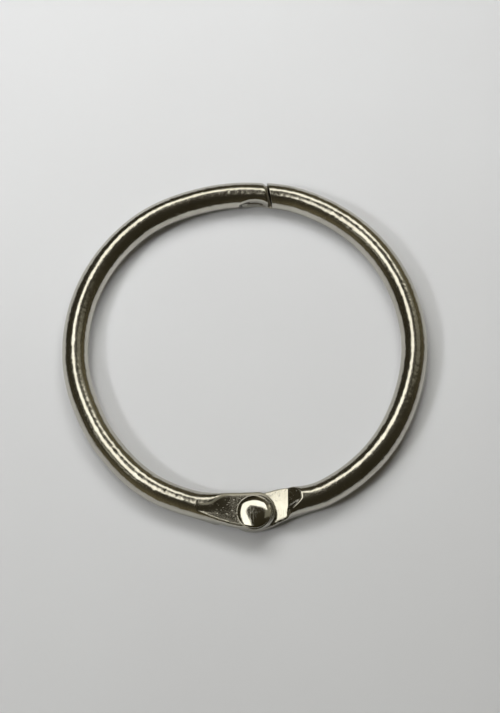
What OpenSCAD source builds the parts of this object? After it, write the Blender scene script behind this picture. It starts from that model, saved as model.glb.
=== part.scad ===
// Hinged binder ring: two half rings of wire that swing apart on one rivet.
// Each half ends in a flattened eye at the rivet and in a hook at the clasp.
// The origin is the middle of the closed ring, on the mid-plane of the wire.

/* [Ring] */
// Inside diameter of the closed ring
ring_inner_d = 38; // [30:0.5:76]
// Diameter of the wire
wire_d = 3.2; // [2.9:0.05:3.6]

/* [Hinge eyes] */
// How far the rivet lies outside the middle line of the wire
hinge_out = 0.5; // [0:0.05:0.8]
// How far the middle of each eye lies outside the middle line of the wire
eye_out = 0.1; // [0:0.05:0.5]
// Radius of each flattened eye
eye_r = 2.2; // [2.1:0.05:2.5]
// How far the middle of an eye lies beyond the rivet
eye_offset = 0.4; // [0.2:0.05:0.5]
// Thickness of each eye
eye_t = 1.2; // [1.05:0.05:1.3]
// How far the upper eye's face lies below the crown of the wire
face_drop = 0.3; // [0.15:0.01:0.4]
// Length of that face, from the rivet
face_len = 6.5; // [5.8:0.1:7]
// Length of wire, from the rivet, over which an eye tapers into the wire
neck_len = 7.4; // [7:0.1:9]
// Distance from the rivet to the foot of the step that makes room for the other eye
step_foot = 3.85; // [3.5:0.05:4.1]
// Length of the step's slope
step_run = 1.4; // [1:0.05:1.8]
// Skew of the step, seen from above
step_skew = 0; // [-10:1:15]

/* [Necks] */
// How far the left wire bends into the ring behind its eye
left_bend = 0.12; // [0:0.01:0.5]
// How far the right wire bends into the ring behind its eye
right_bend = 0.45; // [0:0.01:0.5]
// Distance from the rivet to the deepest place of that bend
bend_at = 4; // [3.6:0.1:4.6]
// Length of wire, from the rivet, that takes part in the bend
bend_len = 9; // [9:0.1:11]

/* [Rivet] */
// Diameter of the shank
shank_d = 2.2; // [1.8:0.05:2.4]
// Diameter of the head
head_d = 4.2; // [4:0.05:4.8]
// Thickness of the head's rim
rim_t = 0.26; // [0.15:0.01:0.4]
// Diameter of the dome on the head
dome_d = 3.9; // [3.4:0.05:4]
// Height of the dome above the rim
dome_h = 0.3; // [0.2:0.02:0.8]
// Diameter of the clinched tail
tail_d = 3.4; // [3.2:0.05:3.8]
// Thickness of the clinched tail
tail_t = 0.44; // [0.3:0.01:0.6]

/* [Clasp] */
// Direction of the middle of the lap, seen from the middle of the ring
clasp_angle = 84.5; // [80:0.5:95]
// Length of the lap, from one hook's tip to the other's
lap_len = 3.4; // [3:0.05:4.4]
// Gap in front of each hook's tip
tip_gap = 0.28; // [0.2:0.02:0.5]
// Skew of the cuts across the wire, seen from above
lap_skew = 14; // [0:1:25]
// Height of the bead that each hook catches with
bead_h = 0.35; // [0.2:0.01:0.5]
// Length of that bead
bead_len = 0.9; // [0.6:0.05:1.2]
// Depth of the scoop that runs across the inner flank of both hooks
flank_drop = 0.5; // [0.2:0.05:0.6]
// Radius of that scoop, seen from above
flank_r = 3.6; // [3:0.1:5]

/* [Fits] */
// Running gap between faces that slide on each other
run_gap = 0.06; // [0.04:0.01:0.1]
// Radial clearance of the shank in the eye that swings
swing_clearance = 0.05; // [0.03:0.01:0.1]
// Radial clearance of the shank in the eye that it is clinched to
grip_clearance = 0.01; // [0.01:0.01:0.03]

/* [Hidden] */
$fn = 96;

// One length that every cut runs past the metal it cuts
overrun = 1;
// Length of the tapered end that sits inside the wire, and its share of the wire's width
root_len = 0.5;
root_share = 0.99;
// Squareness of a section: 2 is round, and more is closer to a rectangle
round_power = 2;
eye_power = 6;
// Roundness of the dome: 2 is a plain curve, and more is flatter in the middle
dome_power = 4.2;
dome_points = 32;
// Height of the eye before pressing, as a share of the height that is left
crown_share = 1.2;
// First angle of the rounded end of the eye, just off its tip
tip_angle = 6;
// Sections along the rounded end, sections along the neck, and points in each section
end_rows = 9;
neck_rows = 24;
section_points = 40;

wire_r = wire_d / 2;
ring_r = (ring_inner_d + wire_d) / 2;
hinge_r = ring_r + hinge_out;
eye_mid_r = ring_r + eye_out;
shank_r = shank_d / 2;
head_r = head_d / 2;
dome_r = dome_d / 2;
tail_r = tail_d / 2;

// Heights of the hinge's faces, from the top eye's face down to the tail
face_z = wire_r - face_drop;
seam_top_z = face_z - eye_t;
seam_low_z = seam_top_z - run_gap;
under_z = seam_low_z - eye_t;
tail_z = under_z - tail_t;
head_z = face_z + run_gap;
dome_z = head_z + rim_t;
eye_crown = crown_share * max(face_z, -under_z);

// Room that a press cut needs: above and below the metal, and across it
cut_h = max(wire_r, eye_crown) + overrun;
cut_w = 2 * (max(wire_r, eye_r) + hinge_out + max(left_bend, right_bend) + overrun);
eye_reach = eye_offset + eye_r;

// Places along the lap, from the heel of one hook to the tip of the same hook
lap_tip = lap_len / 2;
lap_heel = -lap_tip - tip_gap;
half_gap = run_gap / 2;
// The skewed cut reaches further along the wire on one flank than on its middle
lap_reach = lap_tip + tip_gap + wire_d * tan(lap_skew) + overrun;

// Angle at the middle of the ring of a length along the wire
function arc_angle(len) = len / ring_r * 180 / PI;

// Goes smoothly from 1 at from_s to 0 at to_s
function fade(s, from_s, to_s) =
    (1 + cos(180 * min(1, max(0, (s - from_s) / (to_s - from_s))))) / 2;

// A section's middle, half width, half height and squareness at a length s from the rivet
function neck_mid_r(s, bend) =
    ring_r + eye_out * fade(s, -eye_offset, neck_len)
    - bend * (1 - fade(s, 0, bend_at)) * fade(s, bend_at, bend_len);
function neck_half_width(s) = wire_r + (eye_r - wire_r) * fade(s, -eye_offset, neck_len);
function neck_half_height(s) = wire_r + (eye_crown - wire_r) * fade(s, 0, neck_len);
function neck_power(s) = round_power + (eye_power - round_power) * fade(s, 0, neck_len);

// A power that keeps the sign of its base
function signed_power(base, power) = sign(base) * pow(abs(base), power);

// One rounded-rectangle section, across the wire at a length s from the rivet
function section(s, mid_r, half_width, half_height, power) =
    let (angle = arc_angle(s) - 90)
    [for (i = [0 : section_points - 1])
        let (
            turn = 360 * i / section_points,
            across = mid_r + half_width * signed_power(cos(turn), 2 / power)
        )
        [
            across * cos(angle),
            across * sin(angle),
            half_height * signed_power(sin(turn), 2 / power)
        ]];

// The rounded end of an eye: a circle seen from above, with its rim rounded over
function end_section(turn) =
    section(
        -eye_offset - eye_r * cos(turn),
        eye_mid_r,
        eye_r * sin(turn),
        eye_crown * pow(1 - pow(cos(turn), eye_power), 1 / eye_power),
        eye_power
    );

function neck_section(s, bend, share) =
    section(
        s,
        neck_mid_r(s, bend),
        share * neck_half_width(s),
        share * neck_half_height(s),
        neck_power(s)
    );

// A closed skin over a list of sections with the same number of points each
module skin(sections) {
    rows = len(sections);
    count = len(sections[0]);
    sides = [
        for (row = [0 : rows - 2], i = [0 : count - 1])
            let (
                a = row * count + i,
                b = row * count + (i + 1) % count
            )
            each [[a, b, a + count], [b, b + count, a + count]]
    ];
    first_cap = [for (i = [count - 1 : -1 : 0]) i];
    last_cap = [for (i = [0 : count - 1]) (rows - 1) * count + i];
    polyhedron(
        points = [for (one = sections) each one],
        faces = concat([first_cap], sides, [last_cap])
    );
}

// Wire end spread into an eye, before pressing, on the right-hand side of the rivet
module spread_end(bend) {
    end_step = (90 - tip_angle) / end_rows;
    neck_step = (bend_len + eye_offset) / neck_rows;
    skin(concat(
        [for (i = [0 : end_rows - 1]) end_section(tip_angle + i * end_step)],
        [for (i = [0 : neck_rows - 1]) neck_section(i * neck_step - eye_offset, bend, 1)],
        [neck_section(bend_len, bend, root_share), neck_section(bend_len + root_len, bend, root_share)]
    ));
}

// Round wire from the end of the bend to past the clasp, on the right-hand side
module wire_arc(lap_angle) {
    start = arc_angle(bend_len) - 90;
    rotate([0, 0, start])
        rotate_extrude(angle = lap_angle + arc_angle(lap_reach) - start)
            translate([ring_r, 0])
                circle(r = wire_r);
}

module half_blank(bend, lap_angle) {
    spread_end(bend);
    wire_arc(lap_angle);
}

// A press cut with the given outline of lengths from the rivet and heights
module press_cut(outline, skew) {
    translate([0, -hinge_r, 0])
        rotate([0, 0, -skew])
            rotate([90, 0, 0])
                linear_extrude(height = cut_w, center = true)
                    polygon(outline);
}

// Room over the lower eye: flat to the foot of the step, then a slope up to the crown
module step_cut_above(floor_z) {
    press_cut([
        [-eye_reach - overrun, floor_z],
        [step_foot, floor_z],
        [step_foot + step_run, wire_r],
        [step_foot + step_run, cut_h],
        [-eye_reach - overrun, cut_h]
    ], step_skew);
}

// Room under the upper eye: the same step, turned upside down
module step_cut_below(ceiling_z) {
    press_cut([
        [-eye_reach - overrun, ceiling_z],
        [step_foot, ceiling_z],
        [step_foot + step_run, -wire_r],
        [step_foot + step_run, -cut_h],
        [-eye_reach - overrun, -cut_h]
    ], step_skew);
}

// The flat face under the rivet's head, with a short slope where it meets the wire
module face_cut() {
    press_cut([
        [-eye_reach - overrun, face_z],
        [face_len, face_z],
        [face_len + face_drop, wire_r],
        [face_len + face_drop, cut_h],
        [-eye_reach - overrun, cut_h]
    ], 0);
}

// The flat face over the rivet's tail, which runs out into the wire's underside
module under_cut() {
    press_cut([
        [-eye_reach - overrun, under_z],
        [step_foot, under_z],
        [face_len, -wire_r],
        [face_len, -cut_h],
        [-eye_reach - overrun, -cut_h]
    ], 0);
}

module hinge_bore(clearance) {
    translate([0, -hinge_r, -cut_h])
        cylinder(r = shank_r + clearance, h = 2 * cut_h);
}

// The middle of the lap, with x along the wire to the right and y out of the ring
module at_clasp() {
    rotate([0, 0, clasp_angle - 90])
        translate([0, ring_r, 0])
            children();
}

// What is cut off the end of the left wire to leave its hook, which lies on top
module lap_cut() {
    rotate([90, 0, 0])
        linear_extrude(height = cut_w, center = true)
            polygon([
                [lap_heel, -cut_h],
                [lap_heel, half_gap + bead_h],
                [bead_len - lap_tip + run_gap, half_gap + bead_h],
                [bead_len - lap_tip + run_gap, half_gap],
                [lap_tip - bead_len, half_gap],
                [lap_tip - bead_len, half_gap - bead_h],
                [lap_tip, half_gap - bead_h],
                [lap_tip, cut_h],
                [lap_tip + lap_reach, cut_h],
                [lap_tip + lap_reach, -cut_h]
            ]);
}

// The scoop in the inner flank of the hooks, over the middle of the skewed lap
module flank_cut() {
    translate([wire_r * tan(lap_skew), flank_drop - wire_r - flank_r, -cut_h])
        cylinder(r = flank_r, h = 2 * cut_h);
}

module left_half_ring() {
    color([0.62, 0.59, 0.50])
    difference() {
        mirror([1, 0, 0])
            difference() {
                half_blank(left_bend, 180 - clasp_angle);
                face_cut();
                step_cut_below(seam_top_z);
            }
        hinge_bore(swing_clearance);
        at_clasp() rotate([0, 0, lap_skew]) lap_cut();
        at_clasp() flank_cut();
    }
}

module right_half_ring() {
    color([0.62, 0.59, 0.50])
    difference() {
        half_blank(right_bend, clasp_angle);
        step_cut_above(seam_low_z);
        under_cut();
        hinge_bore(grip_clearance);
        at_clasp() rotate([0, 0, lap_skew]) rotate([0, 180, 0]) lap_cut();
        at_clasp() flank_cut();
    }
}

// A disc with a full round rim, seen as a half profile standing on height z
module disc_profile(radius, thickness, z) {
    translate([0, z])
        square([radius - thickness / 2, thickness]);
    translate([radius - thickness / 2, z + thickness / 2])
        circle(r = thickness / 2);
}

// A low dome of the given base radius and height, on height z, nearly flat in its middle
module dome_profile(base_r, height, z) {
    polygon(concat(
        [[0, z]],
        [for (i = [0 : dome_points])
            let (turn = 90 * i / dome_points)
            [base_r * cos(turn), z + height * (1 - pow(cos(turn), dome_power))]]
    ));
}

module hinge_rivet() {
    color([0.64, 0.61, 0.53])
    translate([0, -hinge_r, 0])
        rotate_extrude() {
            disc_profile(tail_r, tail_t, tail_z);
            translate([0, tail_z + tail_t / 2])
                square([shank_r, head_z + rim_t / 2 - tail_z - tail_t / 2]);
            disc_profile(head_r, rim_t, head_z);
            dome_profile(dome_r, dome_h, dome_z);
        }
}

left_half_ring();
right_half_ring();
hinge_rivet();
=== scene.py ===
"""Looks of a hinged binder ring: nickel-plated half rings and rivet on a pale table."""

import math

import bpy
import numpy as np
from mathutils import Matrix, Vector


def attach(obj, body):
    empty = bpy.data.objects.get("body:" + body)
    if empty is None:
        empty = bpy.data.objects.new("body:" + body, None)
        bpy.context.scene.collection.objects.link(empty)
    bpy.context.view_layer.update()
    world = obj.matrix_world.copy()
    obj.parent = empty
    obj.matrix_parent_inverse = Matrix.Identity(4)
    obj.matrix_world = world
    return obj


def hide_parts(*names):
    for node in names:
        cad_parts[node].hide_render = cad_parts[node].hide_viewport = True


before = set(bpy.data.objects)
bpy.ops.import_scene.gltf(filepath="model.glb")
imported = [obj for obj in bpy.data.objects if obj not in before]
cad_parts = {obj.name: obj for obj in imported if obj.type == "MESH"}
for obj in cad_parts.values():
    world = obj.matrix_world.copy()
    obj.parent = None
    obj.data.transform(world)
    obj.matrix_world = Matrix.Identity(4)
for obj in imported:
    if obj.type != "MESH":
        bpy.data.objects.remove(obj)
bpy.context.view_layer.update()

MM = 0.001
MM_PER_CM = 10

# Wire, eyes and step, in millimetres, as in the part's source.
WIRE_R = 1.6
RING_R = 19 + WIRE_R
HINGE_OUT = 0.5
EYE_OUT = 0.1
HINGE_R = RING_R + HINGE_OUT
EYE_R = 2.2
EYE_OFFSET = 0.4
EYE_T = 1.2
FACE_DROP = 0.3
FACE_LEN = 6.5
NECK_LEN = 7.4
STEP_FOOT = 3.85
STEP_RUN = 1.4
RUN_GAP = 0.06
FACE_Z = WIRE_R - FACE_DROP
SEAM_TOP_Z = FACE_Z - EYE_T
SEAM_LOW_Z = SEAM_TOP_Z - RUN_GAP
UNDER_Z = SEAM_LOW_Z - EYE_T
EYE_CROWN = 1.2 * FACE_Z
ROUND_POWER = 2.0
EYE_POWER = 6.0
BORE_R = {"left": 1.15, "right": 1.11}

# Lap of the hooks, in millimetres, as in the part's source: x from its middle towards the left hook's tip.
CLASP_ANGLE = 84.5
LAP_TIP = 1.7
LAP_HEEL = -1.98
LAP_SKEW = math.radians(14)
BEAD_H = 0.35
BEAD_LEN = 0.9
FLANK_DROP = 0.5
FLANK_R = 3.6

# Rivet, in millimetres: shank and tail as in the part's source, and a head a little smaller than there.
SHANK_R = 1.1
TAIL_R = 1.7
TAIL_Z = -WIRE_R
HEAD_Z = FACE_Z + RUN_GAP
HEAD_R = 2.095
RIM_T = 0.23
DOME_Z = HEAD_Z + RIM_T
DOME_R = 1.95
DOME_H = 0.23
DOME_POWER = 3.5
DOME_TILT = math.tan(math.radians(6.5))

# Points of the rivet's profile on a round rim and on the dome, the power that crowds the dome's towards its
# shoulder, and the step past the tail's rim.
RIM_POINTS = 15
DOME_POINTS = 60
DOME_CROWDING = 0.7
RIM_STEP = 0.05

# Bows of each wire off the ring's circle: where along it they start, peak and end, and how far out they go.
WIRE_BOWS = {
    "left": [(0, 4, 9, -0.12), (7, 13, 20, 0.2), (20, 25, 31, -0.09), (51, 61, 90, -0.33)],
    "right": [(0, 4, 9, -0.45), (15, 25, 33, -0.16), (34, 47, 56, 0.07), (57, 64, 90, -0.33)],
}

# How far the skin stays inside the part's outline, in millimetres.
SKIN_INSET = 0.01

# Rounding that pressing and tumbling leave on the edges, in millimetres. The left pressed edge gets sharper
# outwards.
PRESS_ROUND = {"left": 0.12, "right": 0.2}
PRESS_ROUND_CHANGE = {"left": 0.05, "right": 0.0}
SEAM_ROUND = 0.12
LIP_ROUND = 0.08
TIP_ROUND = 0.42
FLANK_ROUND = 0.15

# Depth between wire and press over which a pressed edge has a dull rim, more of it inside the eyes, and the
# stretch of wire along which that extra ends.
BURR_WIDTH = 0.03
BURR_WIDTH_INSIDE = 0.12
BURR_END = (3.0, 5.5)

# Shares of pressed and lapped face where cut and wire are equally deep, and their growth per millimetre.
PRESSED_START = 0.5
LAPPED_START = -0.3
SHARE_GROWTH = 4

# How the left eye's pressed face rises and leans outwards along the neck.
FACE_RISE = 0.32
FACE_LEAN = math.tan(math.radians(20))

# The ramp that pressing leaves between the right eye and its step.
RAMP_R = 2.3
RAMP_SLOPE = math.tan(math.radians(6))

# Length of the right step's slope on the inner flank and on the outer one, where its crest turns towards the
# rivet, and the distances off the circle between which it turns.
CREST_RUN = 1.75
CREST_RUN_OUTER = 0.45
CREST_TURN = (-0.3, 1.1)

# Where along the wire the hinge's presses end and the clasp's cuts start, and a depth that means no cut.
HINGE_END = 15
CLASP_START = 40
NO_CUT = -9.0

# Points around a section, and spacing of sections along the wire in millimetres.
AROUND = 144
HINGE_STEP = 0.07
WIRE_STEP = 0.45
CLASP_STEP = 0.07

# Ends of the closely spaced stretches, and the sections round an eye's end, from its first angle in degrees,
# and at each wall of the lap.
NECK_END = 9.0
HOOK_LEN = 5.0
STEP_LEAD = 0.6
EYE_END_SECTIONS = 40
EYE_END_ANGLE = 1.5
WALL_REACH = 0.2
WALL_SECTIONS = 27
TIP_MARGIN = 0.012

# Rays that find the skin: where along the wire their middle leaves the eye's, how far before the clasp it
# moves into the hook's, its height there, the rays' greatest length, and how often that is halved.
EYE_MID_END = (5.0, 9.0)
HOOK_MID_LEAD = (6.0, 2.6)
HOOK_MID_Z = 0.9
LONGEST_RAY = 5.0
HALVINGS = 36

# The drill for the eyes' holes: sides, and reach above and below the ring's middle in millimetres.
DRILL_SIDES = 96
DRILL_REACH = 3

# Edges sharper than this stay sharp.
SHARP_EDGE = math.radians(42)


# Form of the half rings

def fade(s, start, end):
    """1 before start, 0 after end, and half a cosine wave in between."""
    share = np.clip((s - start) / (end - start), 0, 1)
    return (1 + np.cos(np.pi * share)) / 2


def rounded_meet(a, b, radius):
    """The larger of two depths, rounded where they meet: (radius - |a - b|)^2 / 4 radius is added there."""
    near = np.maximum(radius - np.abs(a - b), 0)
    return np.maximum(a, b) + near * near / (4 * radius)


def depth_in_outline(x, z, corners):
    """Distance to the nearest edge of a closed outline, positive inside it.

    The nearest point of each edge is the foot of the perpendicular, kept between the edge's ends; inside is
    where an odd number of edges is crossed going towards +x.
    """
    nearest = np.full(x.shape, 1e9)
    inside = np.zeros(x.shape, dtype=bool)
    for (ax, az), (bx, bz) in zip(corners, corners[1:] + corners[:1]):
        ex, ez = bx - ax, bz - az
        share = np.clip(((x - ax) * ex + (z - az) * ez) / (ex * ex + ez * ez), 0, 1)
        nearest = np.minimum(nearest, np.hypot(x - ax - share * ex, z - az - share * ez))
        if az != bz:
            crosses = (az > z) != (bz > z)
            inside ^= crosses & (x < ax + (z - az) * ex / ez)
    return np.where(inside, nearest, -nearest)


# What the lap cuts from the left wire. Its first corner and its last three lie far outside the wire.
LAP_FAR_X = 30.0
LAP_FAR_Z = 9.0
LAP_OUTLINE = [
    (LAP_HEEL, -LAP_FAR_Z),
    (LAP_HEEL, RUN_GAP / 2 + BEAD_H),
    (BEAD_LEN - LAP_TIP + RUN_GAP, RUN_GAP / 2 + BEAD_H),
    (BEAD_LEN - LAP_TIP + RUN_GAP, RUN_GAP / 2),
    (LAP_TIP - BEAD_LEN, RUN_GAP / 2),
    (LAP_TIP - BEAD_LEN, RUN_GAP / 2 - BEAD_H),
    (LAP_TIP, RUN_GAP / 2 - BEAD_H),
    (LAP_TIP, LAP_FAR_Z),
    (LAP_FAR_X, LAP_FAR_Z),
    (LAP_FAR_X, -LAP_FAR_Z),
]


def wire_mid(side, s):
    """How far the wire's middle lies outside the ring's circle, at the eye and in each bow.

    A bow rises along half a cosine wave and falls along another.
    """
    out = EYE_OUT * fade(s, -EYE_OFFSET, NECK_LEN)
    for start, peak, end, reach in WIRE_BOWS[side]:
        out = out + reach * (1 - fade(s, start, peak)) * fade(s, peak, end)
    return out


def wire_depth(side, s, rho, z):
    """Height over the unpressed wire: a power-n ellipse across the wire that widens into the eye.

    Half width, half height, power and middle go from the wire's to the eye's along half a cosine wave. Past
    the eye's middle the width is measured from the eye's middle point, so that the end is round from above.
    """
    to_eye = fade(s, -EYE_OFFSET, NECK_LEN)
    pressed = fade(s, 0, NECK_LEN)
    half_width = WIRE_R + (EYE_R - WIRE_R) * to_eye
    half_height = WIRE_R + (EYE_CROWN - WIRE_R) * pressed
    power = ROUND_POWER + (EYE_POWER - ROUND_POWER) * pressed
    past_eye = np.minimum(s + EYE_OFFSET, 0) / EYE_R
    across = np.hypot(past_eye, (rho - wire_mid(side, s)) / half_width)
    size = (across**power + np.abs(z / half_height) ** power) ** (1 / power)
    return (size - 1) * np.minimum(half_width, half_height)


def press_depths(side, x, y, rho, z):
    """Heights over the two pressed faces: flat to the foot of a step, then a straight slope out to the wire.

    x and y are measured from the ring's middle with the half on the +x side. The left face twists outwards
    along the neck. The right one ramps up round the rivet, and its slope is steeper on the outer flank.
    """
    after_face = np.maximum(x - FACE_LEN, 0)
    after_step = np.maximum(x - STEP_FOOT, 0)
    if side == "left":
        slope = (SEAM_TOP_Z + WIRE_R) / STEP_RUN
        at_neck = 1 - fade(x, EYE_R + EYE_OFFSET, FACE_LEN)
        face = FACE_Z + at_neck * np.maximum(FACE_RISE - FACE_LEAN * rho, 0)
        above = (z - face - after_face) / np.where(after_face > 0, math.sqrt(2), 1)
        below = (SEAM_TOP_Z - slope * after_step - z) / np.where(after_step > 0, math.hypot(slope, 1), 1)
    else:
        run = CREST_RUN_OUTER + (CREST_RUN - CREST_RUN_OUTER) * fade(rho, *CREST_TURN)
        slope = (WIRE_R - SEAM_LOW_Z) / run
        run_out = (UNDER_Z + WIRE_R) / (FACE_LEN - STEP_FOOT)
        ramp = RAMP_SLOPE * np.maximum(np.hypot(x, y + HINGE_R) - RAMP_R, 0)
        face = SEAM_LOW_Z + np.maximum(ramp, slope * after_step)
        above = (z - face) / np.where(after_step > 0, np.hypot(slope, 1), 1)
        below = UNDER_Z - run_out * after_step - z
    return above, below


def half_depth(side, s, rho, z):
    """Height over the finished half ring, and how far the press and the lap, rather than the wire, make it.

    The wire, the pressed faces, the lap's outline and the hook's scoop are joined by rounded meetings.
    """
    angle = s / RING_R - math.pi / 2
    x, y = (RING_R + rho) * np.cos(angle), (RING_R + rho) * np.sin(angle)
    wire = wire_depth(side, s, rho, z) + SKIN_INSET
    above, below = press_depths(side, x, y, rho, z)
    at_hinge, at_clasp = s < HINGE_END, s > CLASP_START
    pressed = np.where(at_hinge, np.maximum(above, below), NO_CUT)
    rounding = PRESS_ROUND[side] - PRESS_ROUND_CHANGE[side] * np.clip(rho / WIRE_R, -1, 1)
    depth = rounded_meet(wire, np.where(at_hinge, above, NO_CUT), rounding)
    depth = rounded_meet(depth, np.where(at_hinge, below, NO_CUT), SEAM_ROUND)

    turn = math.radians(CLASP_ANGLE - 90)
    real_x = x if side == "right" else -x
    clasp_x = real_x * math.cos(turn) + y * math.sin(turn)
    clasp_y = y * math.cos(turn) - real_x * math.sin(turn) - RING_R
    lap_x = clasp_x * math.cos(LAP_SKEW) + clasp_y * math.sin(LAP_SKEW)
    way = 1 if side == "left" else -1
    lap = np.where(at_clasp, depth_in_outline(way * lap_x, way * z, LAP_OUTLINE), NO_CUT)
    scoop_x, scoop_y = WIRE_R * math.tan(LAP_SKEW), FLANK_DROP - WIRE_R - FLANK_R + wire_mid(side, s)
    flank = np.where(at_clasp, FLANK_R - np.hypot(clasp_x - scoop_x, clasp_y - scoop_y), NO_CUT)
    tip = np.where(at_clasp, way * lap_x - LAP_TIP, NO_CUT)
    depth = rounded_meet(depth, tip, TIP_ROUND)
    depth = rounded_meet(depth, lap, LIP_ROUND)
    depth = rounded_meet(depth, flank, FLANK_ROUND)
    return depth, pressed - wire, np.maximum(lap, tip) - wire


def spaced(start, end, step):
    """Even spacing from start up to end, without end."""
    count = max(2, int(round((end - start) / step)))
    return np.linspace(start, end, count, endpoint=False)


def half_stations(side):
    """Lengths from the rivet at which a half ring gets a section, closer together at eye, step and hook."""
    swept = CLASP_ANGLE + 90 if side == "right" else 270 - CLASP_ANGLE
    clasp_s = math.radians(swept) * RING_R
    tip_s = clasp_s + LAP_TIP / math.cos(LAP_SKEW)
    end_turn = np.radians(np.linspace(EYE_END_ANGLE, 90, EYE_END_SECTIONS, endpoint=False))
    round_end = -EYE_OFFSET - EYE_R * np.cos(end_turn)
    walls = (LAP_HEEL, BEAD_LEN - LAP_TIP + RUN_GAP, LAP_TIP - BEAD_LEN, LAP_TIP)
    near_wall = np.linspace(-WALL_REACH, WALL_REACH, WALL_SECTIONS)
    near_walls = [clasp_s + wall / math.cos(LAP_SKEW) + near_wall for wall in walls]
    along = np.concatenate(
        [
            round_end,
            spaced(-EYE_OFFSET, NECK_END, HINGE_STEP),
            spaced(STEP_FOOT - STEP_LEAD, STEP_FOOT + CREST_RUN, HINGE_STEP / 2),
            spaced(NECK_END, clasp_s - HOOK_LEN, WIRE_STEP),
            spaced(clasp_s - HOOK_LEN, tip_s, CLASP_STEP),
        ]
        + near_walls
    )
    along = np.unique(np.round(along[along < tip_s - TIP_MARGIN], 4))
    return along, clasp_s, tip_s


def half_ring_mesh(side):
    """Points, faces, UVs and shares of pressed face, lapped face and dull rim of one half ring.

    At each station rays leave a middle point inside the wire, evenly round it, in a section that is sheared
    to the lap's skew near the clasp. Halving the ray's length again and again finds where the depth is zero.
    A point at each end closes the skin.
    """
    along, clasp_s, tip_s = half_stations(side)
    angles = np.linspace(0, 2 * np.pi, AROUND, endpoint=False)
    s0, turn = np.meshgrid(along, angles, indexing="ij")

    past_eye = np.clip((-EYE_OFFSET - s0) / EYE_R, 0, 1)
    reach = EYE_CROWN * (1 - past_eye**EYE_POWER) ** (1 / EYE_POWER)
    if side == "left":
        eye_mid = (SEAM_TOP_Z + np.minimum(FACE_Z, reach)) / 2
        hook_mid, shear = HOOK_MID_Z, -math.tan(LAP_SKEW)
    else:
        eye_mid = (SEAM_LOW_Z + np.maximum(UNDER_Z, -reach)) / 2
        hook_mid, shear = -HOOK_MID_Z, math.tan(LAP_SKEW)
    at_eye = fade(s0, *EYE_MID_END)
    at_hook = 1 - fade(s0, clasp_s - HOOK_MID_LEAD[0], clasp_s - HOOK_MID_LEAD[1])
    mid_z = eye_mid * at_eye + hook_mid * at_hook
    mid_rho = wire_mid(side, s0)

    def at(ray):
        rho = mid_rho + ray * np.cos(turn)
        return s0 + shear * at_hook * rho, rho, mid_z + ray * np.sin(turn)

    near = np.zeros_like(s0)
    far = np.full_like(s0, LONGEST_RAY)
    for _ in range(HALVINGS):
        half = (near + far) / 2
        outside = half_depth(side, *at(half))[0] > 0
        far = np.where(outside, half, far)
        near = np.where(outside, near, half)
    s, rho, z = at(near)
    _, over_press, over_lap = half_depth(side, s, rho, z)
    pressed = np.clip(PRESSED_START + SHARE_GROWTH * over_press, 0, 1)
    lapped = np.clip(LAPPED_START + SHARE_GROWTH * over_lap, 0, 1)
    burr = BURR_WIDTH + BURR_WIDTH_INSIDE * fade(s, *BURR_END) * np.clip(-rho / EYE_R, 0, 1)
    burred = np.exp(-((over_press / burr) ** 2))

    end_s = [-EYE_OFFSET - EYE_R, tip_s]
    s = np.concatenate([s.ravel(), end_s])
    rho = np.concatenate([rho.ravel(), [mid_rho[0, 0], mid_rho[-1, 0]]])
    z = np.concatenate([z.ravel(), [mid_z[0, 0], mid_z[-1, 0]]])
    shares = {
        "pressed": np.append(pressed, [0, 0]),
        "lapped": np.append(lapped, [0, 1]),
        "burred": np.append(burred, [0, 0]),
    }
    angle = s / RING_R - math.pi / 2
    x = (RING_R + rho) * np.cos(angle) * (1 if side == "right" else -1)
    points = np.stack([x, (RING_R + rho) * np.sin(angle), z], axis=1) * MM

    run = s[: s0.size].reshape(s0.shape) / MM_PER_CM
    quads, quad_uv, caps, cap_uv = skin_faces(len(along), run)
    if side == "left":
        quads, quad_uv = quads[:, ::-1], quad_uv[:, ::-1]
        caps, cap_uv = caps[:, ::-1], cap_uv[:, ::-1]
    return points, quads, quad_uv, caps, cap_uv, shares


def skin_faces(rows, run):
    """Quads between neighbouring sections, triangles to the two end points, and their UVs.

    The first UV is the length along the wire in centimetres, and the second goes from 0 to 1 round it.
    """
    row, column = np.meshgrid(np.arange(rows - 1), np.arange(AROUND), indexing="ij")
    following = (column + 1) % AROUND
    a, b = row * AROUND + column, row * AROUND + following
    quads = np.stack([a, a + AROUND, b + AROUND, b], axis=-1).reshape(-1, 4)
    low, high = column / AROUND, (column + 1) / AROUND
    run_round = [run[row, column], run[row + 1, column], run[row + 1, following], run[row, following]]
    share_round = [low, low, high, high]
    quad_uv = np.stack([np.stack(run_round, -1), np.stack(share_round, -1)], axis=-1).reshape(-1, 4, 2)

    ring = np.arange(AROUND)
    after = (ring + 1) % AROUND
    first, last = rows * AROUND, rows * AROUND + 1
    top = (rows - 1) * AROUND
    caps = np.concatenate(
        [
            np.stack([np.full(AROUND, first), ring, after], axis=1),
            np.stack([np.full(AROUND, last), top + after, top + ring], axis=1),
        ]
    )
    cap_uv = np.zeros((2 * AROUND, 3, 2))
    cap_uv[:, :, 0] = np.repeat([run[0, 0], run[-1, 0]], AROUND)[:, None]
    cap_uv[:, :, 1] = (np.tile(ring, 2) / AROUND)[:, None]
    return quads, quad_uv, caps, cap_uv


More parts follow.
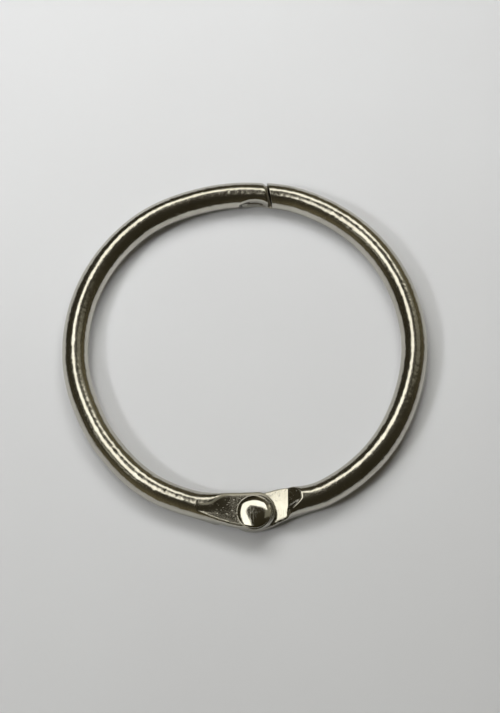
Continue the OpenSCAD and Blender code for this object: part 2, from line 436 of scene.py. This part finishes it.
def make_piece(name, points, quads, quad_uv, caps, cap_uv, shares):
    """A mesh object at the origin from whole arrays, with its UV map and a point attribute for each share."""
    mesh = bpy.data.meshes.new(name)
    mesh.from_pydata(points.tolist(), [], quads.tolist() + caps.tolist())
    uv = np.concatenate([quad_uv.reshape(-1, 2), cap_uv.reshape(-1, 2)])
    mesh.uv_layers.new(name="run").data.foreach_set("uv", uv.ravel())
    for label, share in shares.items():
        mesh.attributes.new(label, "FLOAT", "POINT").data.foreach_set("value", share)
    mesh.update()
    piece = bpy.data.objects.new(name, mesh)
    bpy.context.scene.collection.objects.link(piece)
    return piece


# Form of the rivet and the holes

def revolved(profile):
    """A profile of (radius, height) turned round the rivet's axis; its first and last points lie on the axis.

    The dome is struck a little out of square: its height falls in a straight line towards the ring's middle.
    """
    profile = np.asarray(profile)
    rings = profile[1:-1]
    angles = np.linspace(0, 2 * np.pi, AROUND, endpoint=False)
    radius, turn = np.meshgrid(rings[:, 0], angles, indexing="ij")
    height = np.repeat(rings[:, 1:2], AROUND, axis=1)
    across, along = radius * np.cos(turn), radius * np.sin(turn)
    in_dome = (height >= DOME_Z) & (radius <= DOME_R)
    height = height - np.where(in_dome, DOME_TILT * along, 0)
    ring_points = np.stack([across, along - HINGE_R, height], axis=-1).reshape(-1, 3)
    ends = np.array([[0, -HINGE_R, profile[0, 1]], [0, -HINGE_R, profile[-1, 1]]])
    points = np.concatenate([ring_points, ends]) * MM
    run = np.cumsum(np.hypot(*np.diff(profile, axis=0).T))[:-1] / MM_PER_CM
    quads, quad_uv, caps, cap_uv = skin_faces(len(rings), np.repeat(run[:, None], AROUND, axis=1))
    return points, quads[:, ::-1], quad_uv[:, ::-1], caps[:, ::-1], cap_uv[:, ::-1], {}


def arc(middle_r, middle_z, radius, start, end, count):
    """Points on a circle in the profile's plane, from one angle to another in degrees."""
    turn = np.radians(np.linspace(start, end, count))
    return np.stack([middle_r + radius * np.cos(turn), middle_z + radius * np.sin(turn)], axis=1)


def line(start, end, count):
    """Even points from start to end, without end."""
    return np.linspace(start, end, count, endpoint=False)


def rivet_profile():
    """From the tail's middle over its round rim, up the shank, out round the head's rim and over the dome.

    The dome's height falls with a power of the radius, so its middle is nearly flat and its shoulder round.
    """
    tail_t = UNDER_Z - TAIL_Z
    tail_flat, head_flat = TAIL_R - tail_t / 2, HEAD_R - RIM_T / 2
    dome_r = DOME_R * np.cos(np.linspace(0, np.pi / 2, DOME_POINTS)[:-1]) ** DOME_CROWDING
    dome = np.stack([dome_r, DOME_Z + DOME_H * (1 - (dome_r / DOME_R) ** DOME_POWER)], axis=1)
    return np.concatenate(
        [
            line((0, TAIL_Z), (tail_flat, TAIL_Z), 10),
            arc(tail_flat, TAIL_Z + tail_t / 2, tail_t / 2, -90, 90, RIM_POINTS),
            line((tail_flat - RIM_STEP, UNDER_Z), (SHANK_R, UNDER_Z), 6),
            line((SHANK_R, UNDER_Z), (SHANK_R, HEAD_Z), 12),
            line((SHANK_R, HEAD_Z), (head_flat, HEAD_Z), 8),
            arc(head_flat, HEAD_Z + RIM_T / 2, RIM_T / 2, -90, 90, RIM_POINTS),
            dome,
            [(0, DOME_Z + DOME_H)],
        ]
    )


def bored(piece, radius):
    """The same piece with a straight round hole on the rivet's axis."""
    turn = np.linspace(0, 2 * np.pi, DRILL_SIDES, endpoint=False)
    ring = np.stack([radius * np.cos(turn), radius * np.sin(turn) - HINGE_R, np.zeros(DRILL_SIDES)], axis=1)
    points = np.concatenate([ring - [0, 0, DRILL_REACH], ring + [0, 0, DRILL_REACH]]) * MM
    here = np.arange(DRILL_SIDES)
    after = (here + 1) % DRILL_SIDES
    sides = np.stack([here, after, after + DRILL_SIDES, here + DRILL_SIDES], axis=1).tolist()
    ends = [here[::-1].tolist(), (here + DRILL_SIDES).tolist()]
    drill_mesh = bpy.data.meshes.new("drill")
    drill_mesh.from_pydata(points.tolist(), [], sides + ends)
    drill = bpy.data.objects.new("drill", drill_mesh)
    bpy.context.scene.collection.objects.link(drill)
    cut = piece.modifiers.new("bore", "BOOLEAN")
    cut.operation = "DIFFERENCE"
    cut.solver = "EXACT"
    cut.object = drill
    evaluated = piece.evaluated_get(bpy.context.evaluated_depsgraph_get())
    done = bpy.data.meshes.new_from_object(evaluated)
    piece.modifiers.clear()
    piece.data = done
    bpy.data.objects.remove(drill)
    bpy.data.meshes.remove(drill_mesh)
    return piece


# Finishes

def node_group(name, inputs, outputs):
    """An empty shader group with float inputs and outputs, and its two end nodes."""
    group = bpy.data.node_groups.new(name, "ShaderNodeTree")
    for label, value in inputs:
        socket = group.interface.new_socket(label, in_out="INPUT", socket_type="NodeSocketFloat")
        socket.default_value = value
    for label in outputs:
        group.interface.new_socket(label, in_out="OUTPUT", socket_type="NodeSocketFloat")
    return group, group.nodes.new("NodeGroupInput"), group.nodes.new("NodeGroupOutput")


def add(tree, kind, **settings):
    """A node of that kind with its properties or input values set."""
    node = tree.nodes.new(kind)
    for label, value in settings.items():
        if label in node.inputs:
            node.inputs[label].default_value = value
        else:
            setattr(node, label, value)
    return node


def math_node(tree, operation, first, second=0.0):
    """A maths node on two values or sockets."""
    node = add(tree, "ShaderNodeMath", operation=operation)
    for place, value in enumerate((first, second)):
        if isinstance(value, (int, float)):
            node.inputs[place].default_value = value
        else:
            tree.links.new(value, node.inputs[place])
    return node.outputs[0]


def plus(tree, first, second):
    """The sum of two values or sockets."""
    return math_node(tree, "ADD", first, second)


def minus(tree, first, second):
    """The first of two values or sockets less the second."""
    return math_node(tree, "SUBTRACT", first, second)


def times(tree, first, second):
    """The product of two values or sockets."""
    return math_node(tree, "MULTIPLY", first, second)


def spread(tree, value, low, high):
    """A value stretched so that low becomes 0 and high becomes 1."""
    node = add(tree, "ShaderNodeMapRange", clamp=True)
    node.inputs["From Min"].default_value = low
    node.inputs["From Max"].default_value = high
    tree.links.new(value, node.inputs["Value"])
    return node.outputs["Result"]


def blended(tree, share, first, second):
    """A colour that goes from the first to the second with the share; each is a colour or a socket."""
    node = add(tree, "ShaderNodeMix", data_type="RGBA")
    tree.links.new(share, node.inputs[0])
    for socket, colour in ((node.inputs[6], first), (node.inputs[7], second)):
        if isinstance(colour, tuple):
            socket.default_value = (*colour, 1)
        else:
            tree.links.new(colour, socket)
    return node.outputs[2]


def noise(tree, vector, scale, detail, roughness):
    """The value of a noise texture at a vector."""
    node = add(tree, "ShaderNodeTexNoise", Scale=scale, Detail=detail, Roughness=roughness)
    tree.links.new(vector, node.inputs["Vector"])
    return node.outputs["Fac"]


def placed(tree, vector, scale, turn=(0, 0, 0)):
    """A vector scaled and turned."""
    node = add(tree, "ShaderNodeMapping", Scale=scale, Rotation=turn)
    tree.links.new(vector, node.inputs["Vector"])
    return node.outputs["Vector"]


def object_place(tree):
    """Object coordinates."""
    return add(tree, "ShaderNodeTexCoord").outputs["Object"]


def drawn_lines_group():
    """Fine lines that the drawing die leaves along the wire: noise stretched along the first UV."""
    group, _, out = node_group("drawn_lines", [], ["Lines"])
    uv = add(group, "ShaderNodeUVMap", uv_map="run").outputs["UV"]
    fine = noise(group, placed(group, uv, (1.2, 46.0, 1.0)), 1.0, detail=3.0, roughness=0.6)
    wide = noise(group, placed(group, uv, (0.5, 13.0, 1.0)), 1.0, detail=2.0, roughness=0.5)
    mixed = plus(group, times(group, fine, 0.65), times(group, wide, 0.35))
    group.links.new(spread(group, mixed, 0.3, 0.7), out.inputs["Lines"])
    return group


def handling_marks_group():
    """Thin scratches in three directions and small nicks: bands and spots of noise on Object coordinates."""
    group, given, out = node_group("handling_marks", [("Amount", 0.5)], ["Marks"])
    place = object_place(group)
    spots = noise(group, placed(group, place, (1500, 1500, 1500)), 1.0, detail=2.0, roughness=0.6)
    total = times(group, spread(group, spots, 0.70, 0.78), 0.7)
    for scale, turn in (((2600, 130, 600), 0.5), ((2300, 150, 500), -0.9), ((2900, 120, 700), 1.9)):
        band = noise(group, placed(group, place, scale, (0.3, 0.2, turn)), 1.0, detail=1.0, roughness=0.4)
        off_line = math_node(group, "ABSOLUTE", minus(group, band, 0.5))
        turned = placed(group, place, (260, 260, 260), (turn, 0, 0))
        patches = noise(group, turned, 1.0, detail=1.0, roughness=0.5)
        scratch = times(group, spread(group, off_line, 0.012, 0.0), spread(group, patches, 0.56, 0.66))
        total = math_node(group, "MAXIMUM", total, scratch)
    group.links.new(times(group, total, given.outputs["Amount"]), out.inputs["Marks"])
    return group


def tool_marks_group():
    """Pits and short ridges that the press leaves on a struck face: cells and noise on Object coordinates."""
    group, _, out = node_group("tool_marks", [], ["Pits", "Height"])
    place = object_place(group)
    cells = add(group, "ShaderNodeTexVoronoi", Scale=2900.0, Randomness=1.0)
    group.links.new(placed(group, place, (1.0, 1.5, 1.0), (0, 0, 0.35)), cells.inputs["Vector"])
    ridges = placed(group, place, (3600, 5200, 3600), (0, 0, 0.35))
    rough = noise(group, ridges, 1.0, detail=3.0, roughness=0.65)
    in_cell = spread(group, cells.outputs["Distance"], 0.42, 0.12)
    pits = times(group, in_cell, spread(group, rough, 0.54, 0.71))
    group.links.new(pits, out.inputs["Pits"])
    height = minus(group, times(group, rough, 0.12), times(group, pits, 1.5))
    group.links.new(height, out.inputs["Height"])
    return group


def plating_tone_group():
    """Slow change of the plating's tone over the ring: two sizes of noise on Object coordinates."""
    group, _, out = node_group("plating_tone", [], ["Tone"])
    place = object_place(group)
    slow = noise(group, place, 110.0, detail=2.0, roughness=0.5)
    quick = noise(group, place, 620.0, detail=3.0, roughness=0.55)
    mixed = plus(group, times(group, slow, 0.6), times(group, quick, 0.4))
    group.links.new(spread(group, mixed, 0.36, 0.64), out.inputs["Tone"])
    return group


def plating_dents_group():
    """Small shallow dents that tumbling leaves under the plate: fine noise on Object coordinates."""
    group, given, out = node_group("plating_dents", [("Amount", 1.0)], ["Dents"])
    dents = noise(group, object_place(group), 1500.0, detail=1.0, roughness=0.5)
    group.links.new(times(group, dents, given.outputs["Amount"]), out.inputs["Dents"])
    return group


def use_group(tree, group, **values):
    """The outputs of a group placed in a material, with its inputs set."""
    return add(tree, "ShaderNodeGroup", node_tree=group, **values).outputs


# Tones of the nickel: painted shade that darkens the lapped faces between the hooks, and the dull rim of a
# pressed edge.
LAP_SHADE_TONE = (0.16, 0.145, 0.11)
RIM_TONE = (0.40, 0.38, 0.31)


def nickel(name, light, dark, roughness, marks_amount, dents_amount, pressed_faces, groups):
    """Bright nickel plate: warm metal whose tone drifts, with drawing lines, dents and handling marks.

    Wire also has pressed faces, and painted shade on its lapped faces. Roughness and height are sums of the
    effects, each times its own weight.
    """
    material = bpy.data.materials.new(name)
    material.use_nodes = True
    tree = material.node_tree
    shader = tree.nodes["Principled BSDF"]
    shader.inputs["Metallic"].default_value = 1.0

    lines = use_group(tree, groups["lines"])["Lines"]
    marks = use_group(tree, groups["marks"], Amount=marks_amount)["Marks"]
    dents = use_group(tree, groups["dents"], Amount=dents_amount)["Dents"]
    base = blended(tree, use_group(tree, groups["tone"])["Tone"], dark, light)
    rough = plus(tree, times(tree, lines, 0.05), roughness)
    rough = plus(tree, rough, times(tree, marks, 0.25))
    height = minus(tree, times(tree, lines, 0.35), times(tree, marks, 0.5))
    if pressed_faces:
        pressed, lapped, burred = (
            add(tree, "ShaderNodeAttribute", attribute_name=label).outputs["Fac"]
            for label in ("pressed", "lapped", "burred")
        )
        # Painted shade: the lapped faces inside the joint of the hooks are darkened.
        base = blended(tree, lapped, base, LAP_SHADE_TONE)
        base = blended(tree, burred, base, RIM_TONE)
        tool = use_group(tree, groups["tool"])
        pits = times(tree, tool["Pits"], pressed)
        for share, weight in ((lapped, 0.25), (burred, 0.3), (pressed, -0.03), (pits, 0.45)):
            rough = plus(tree, rough, times(tree, share, weight))
        height = plus(tree, height, times(tree, tool["Height"], pressed))
        dents = times(tree, dents, minus(tree, 1.0, times(tree, pressed, 0.9)))
    height = plus(tree, height, dents)

    tree.links.new(base, shader.inputs["Base Color"])
    tree.links.new(rough, shader.inputs["Roughness"])
    bump = add(tree, "ShaderNodeBump", Strength=0.35, Distance=0.00002)
    tree.links.new(height, bump.inputs["Height"])
    tree.links.new(bump.outputs["Normal"], shader.inputs["Normal"])
    return material


def table_top_material():
    """Matt pale table top with a faint cloudy tone."""
    material = bpy.data.materials.new("table_top")
    material.use_nodes = True
    tree = material.node_tree
    shader = tree.nodes["Principled BSDF"]
    shader.inputs["Roughness"].default_value = 0.6
    shader.inputs["Specular IOR Level"].default_value = 0.2
    cloud = noise(tree, object_place(tree), 30.0, detail=3.0, roughness=0.5)
    colour = blended(tree, cloud, TABLE_DARK, TABLE_LIGHT)
    tree.links.new(colour, shader.inputs["Base Color"])
    return material


def finished(piece, body, node, material):
    """Shades a piece, gives it its finish and puts it in place of its CAD node."""
    piece.data.materials.append(material)
    piece.data.polygons.foreach_set("use_smooth", np.ones(len(piece.data.polygons), dtype=bool))
    piece.data.set_sharp_from_angle(angle=SHARP_EDGE)
    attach(piece, body)
    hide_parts(node)


groups = {
    "tone": plating_tone_group(),
    "lines": drawn_lines_group(),
    "marks": handling_marks_group(),
    "tool": tool_marks_group(),
    "dents": plating_dents_group(),
}
wire_finish = nickel(
    "nickel_wire",
    light=(0.58, 0.56, 0.495),
    dark=(0.47, 0.45, 0.39),
    roughness=0.16,
    marks_amount=0.3,
    dents_amount=5.0,
    pressed_faces=True,
    groups=groups,
)
rivet_finish = nickel(
    "nickel_rivet",
    light=(0.61, 0.59, 0.53),
    dark=(0.50, 0.48, 0.42),
    roughness=0.06,
    marks_amount=0.3,
    dents_amount=1.0,
    pressed_faces=False,
    groups=groups,
)

left_half = bored(make_piece("left_half", *half_ring_mesh("left")), BORE_R["left"])
right_half = bored(make_piece("right_half", *half_ring_mesh("right")), BORE_R["right"])
rivet = make_piece("rivet", *revolved(rivet_profile()))
finished(left_half, "swinging_half", "left_half_ring", wire_finish)
finished(right_half, "fixed_half", "right_half_ring", wire_finish)
finished(rivet, "fixed_half", "hinge_rivet", rivet_finish)


# Table, light and camera

# Half width of the table in metres, and the tones of table, lamps and room.
TABLE_HALF = 1.6
TABLE_DARK = (0.676, 0.685, 0.709)
TABLE_LIGHT = (0.714, 0.729, 0.754)
WARM = (1.0, 0.98, 0.90)
YELLOW = (1.0, 0.98, 0.80)
WHITE = (1.0, 1.0, 1.0)
ROOM_TONE = (0.036, 0.031, 0.019)
ROOM_GLOW = (0.175, 0.15, 0.091)
ROOM_DIAGONAL = (math.sqrt(0.5), math.sqrt(0.5), 0)

# The camera: its angles above and round the table, distance and near limit in metres, the picture's size and
# the place of the ring's middle in it in pixels, the scale there, and the sensor in millimetres.
CAMERA_UP = math.radians(70)
CAMERA_ROUND = math.radians(-92.9)
CAMERA_AWAY = 220 * MM
CAMERA_NEAR = 0.005
FRAME_W, FRAME_H = 500, 713
RING_AT = (245.0, 347.3)
PIXELS_PER_METRE = 8235
SENSOR = 36


def table_top():
    """A flat square of table under the ring."""
    mesh = bpy.data.meshes.new("table_top")
    corners = [(TABLE_HALF * x, TABLE_HALF * y, TAIL_Z * MM) for x, y in ((-1, -1), (1, -1), (1, 1), (-1, 1))]
    mesh.from_pydata(corners, [], [(0, 1, 2, 3)])
    mesh.materials.append(table_top_material())
    table = bpy.data.objects.new("table_top", mesh)
    bpy.context.scene.collection.objects.link(table)


def soft_lamp(name, place, size, power, colour, seen_in_metal):
    """A rectangular soft lamp that faces straight down."""
    data = bpy.data.lights.new(name, "AREA")
    data.shape = "RECTANGLE"
    data.size, data.size_y = size
    data.energy = power
    data.color = colour
    lamp = bpy.data.objects.new(name, data)
    lamp.location = place
    lamp.visible_glossy = seen_in_metal
    lamp.visible_camera = False
    bpy.context.scene.collection.objects.link(lamp)


def surroundings():
    """A dim room around the table, lighter towards the back right and the front left.

    The lighter tone's share is the fourth power of how far a direction points along that diagonal.
    """
    world = bpy.data.worlds.new("room")
    world.use_nodes = True
    tree = world.node_tree
    along = add(tree, "ShaderNodeVectorMath", operation="DOT_PRODUCT")
    along.inputs[1].default_value = ROOM_DIAGONAL
    tree.links.new(add(tree, "ShaderNodeTexCoord").outputs["Generated"], along.inputs[0])
    squared = times(tree, along.outputs["Value"], along.outputs["Value"])
    wall = blended(tree, times(tree, squared, squared), ROOM_TONE, ROOM_GLOW)
    tree.links.new(wall, tree.nodes["Background"].inputs["Color"])
    bpy.context.scene.world = world


def viewer():
    """A camera high above the table on the hinge's side, shifted to put the ring in its place."""
    flat = math.cos(CAMERA_UP)
    toward = Vector((flat * math.cos(CAMERA_ROUND), flat * math.sin(CAMERA_ROUND), math.sin(CAMERA_UP)))
    right = (-toward).cross(Vector((0, 0, 1))).normalized()
    upward = right.cross(-toward)
    aside = right * ((FRAME_W / 2 - RING_AT[0]) / PIXELS_PER_METRE)
    aside -= upward * ((FRAME_H / 2 - RING_AT[1]) / PIXELS_PER_METRE)
    data = bpy.data.cameras.new("viewer")
    data.sensor_width = SENSOR
    data.lens = SENSOR * PIXELS_PER_METRE * CAMERA_AWAY / FRAME_H
    data.clip_start = CAMERA_NEAR
    camera = bpy.data.objects.new("viewer", data)
    camera.location = toward * CAMERA_AWAY + aside
    camera.rotation_euler = (-toward).to_track_quat("-Z", "Y").to_euler()
    bpy.context.scene.collection.objects.link(camera)
    bpy.context.scene.camera = camera


table_top()
surroundings()

# Panels that show as streaks in the metal, then lamps for the table alone: place, size, watts and colour.
soft_lamp("long_lamp", (-0.18, 0.15, 0.60), (0.24, 0.46), 0.73, WARM, True)
soft_lamp("back_lamp", (0.03, 0.52, 0.60), (0.66, 0.30), 1.24, WARM, True)
soft_lamp("left_lamp", (-0.46, -0.12, 0.60), (0.05, 0.30), 0.055, WARM, True)
soft_lamp("right_glow", (0.45, 0.40, 0.60), (0.50, 0.50), 0.15, YELLOW, True)
soft_lamp("key_lamp", (-0.062, 0.082, 0.118), (0.078, 0.078), 0.074, WHITE, False)
soft_lamp("top_lamp", (0.035, 0.072, 0.134), (0.078, 0.065), 0.067, WHITE, False)
soft_lamp("side_lamp", (-0.30, -0.121, 0.313), (0.16, 0.32), 0.21, WHITE, False)
soft_lamp("far_lamp", (-0.608, -0.221, 0.625), (0.14, 0.14), 2.6, WHITE, False)
viewer()

bpy.context.scene.view_settings.view_transform = "Standard"
